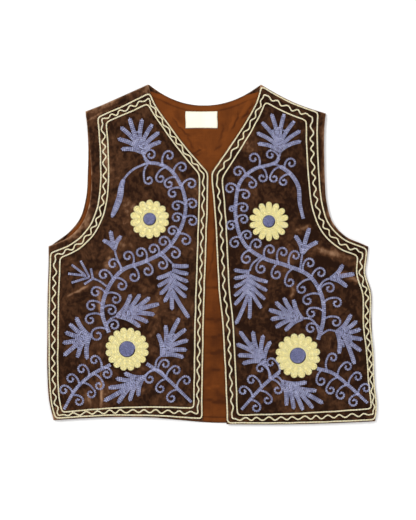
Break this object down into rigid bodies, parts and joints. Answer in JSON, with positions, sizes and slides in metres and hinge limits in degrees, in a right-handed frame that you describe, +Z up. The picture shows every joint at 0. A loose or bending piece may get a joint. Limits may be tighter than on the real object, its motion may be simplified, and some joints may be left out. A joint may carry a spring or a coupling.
{
  "type": "embroidered waistcoat",
  "caption": "Open-fronted velvet waistcoat lying flat, edge to edge at the front, with embroidered daisies, leaves and scrolling stems inside wavy borders.",
  "frame": {"origin": "middle of the underside, on the surface that the waistcoat lies on", "axes": "+Z up from the surface to the fronts, +Y from the hem to the neck, +X to the wearer's left"},
  "size_m": [0.5054, 0.5212, 0.0095],
  "materials": {
    "velvet": "dark brown crushed cotton velvet with a lighter nap on its folds and edges",
    "lining": "rust-brown plain-weave cotton, softly creased",
    "label": "cream woven tape, bare",
    "cream_thread": "cream chain stitch",
    "yellow_thread": "pale yellow chain stitch",
    "lavender_thread": "lavender-blue chain stitch"
  },
  "bodies": {
    "root": {"back": "velvet", "back_lining": "lining", "right_front": "velvet", "left_front": "velvet", "neck_label": "label", "right_outer_line": "cream_thread", "right_wavy_line": "cream_thread", "right_inner_line": "cream_thread", "left_outer_line": "cream_thread", "left_wavy_line": "cream_thread", "left_inner_line": "cream_thread", "right_upper_flower_petals": "yellow_thread", "right_upper_flower_centre": "lavender_thread", "right_lower_flower_petals": "yellow_thread", "right_lower_flower_centre": "lavender_thread", "left_upper_flower_petals": "yellow_thread", "left_upper_flower_centre": "lavender_thread", "left_lower_flower_petals": "yellow_thread", "left_lower_flower_centre": "lavender_thread", "right_top_leaf": "lavender_thread", "right_chest_leaf": "lavender_thread", "right_twig_leaf": "lavender_thread", "right_hanging_leaf": "lavender_thread", "right_middle_leaf": "lavender_thread", "right_outer_leaf": "lavender_thread", "right_inner_leaf": "lavender_thread", "right_bottom_leaf": "lavender_thread", "right_main_stem": "lavender_thread", "right_pod_stem": "lavender_thread", "right_outer_branch": "lavender_thread", "right_inner_branch": "lavender_thread", "left_top_leaf": "lavender_thread", "left_chest_leaf": "lavender_thread", "left_twig_leaf": "lavender_thread", "left_hanging_leaf": "lavender_thread", "left_middle_leaf": "lavender_thread", "left_outer_leaf": "lavender_thread", "left_inner_leaf": "lavender_thread", "left_bottom_leaf": "lavender_thread", "left_main_stem": "lavender_thread", "left_pod_stem": "lavender_thread", "left_inner_branch": "lavender_thread", "left_outer_branch": "lavender_thread"}
  },
  "joints": []
}
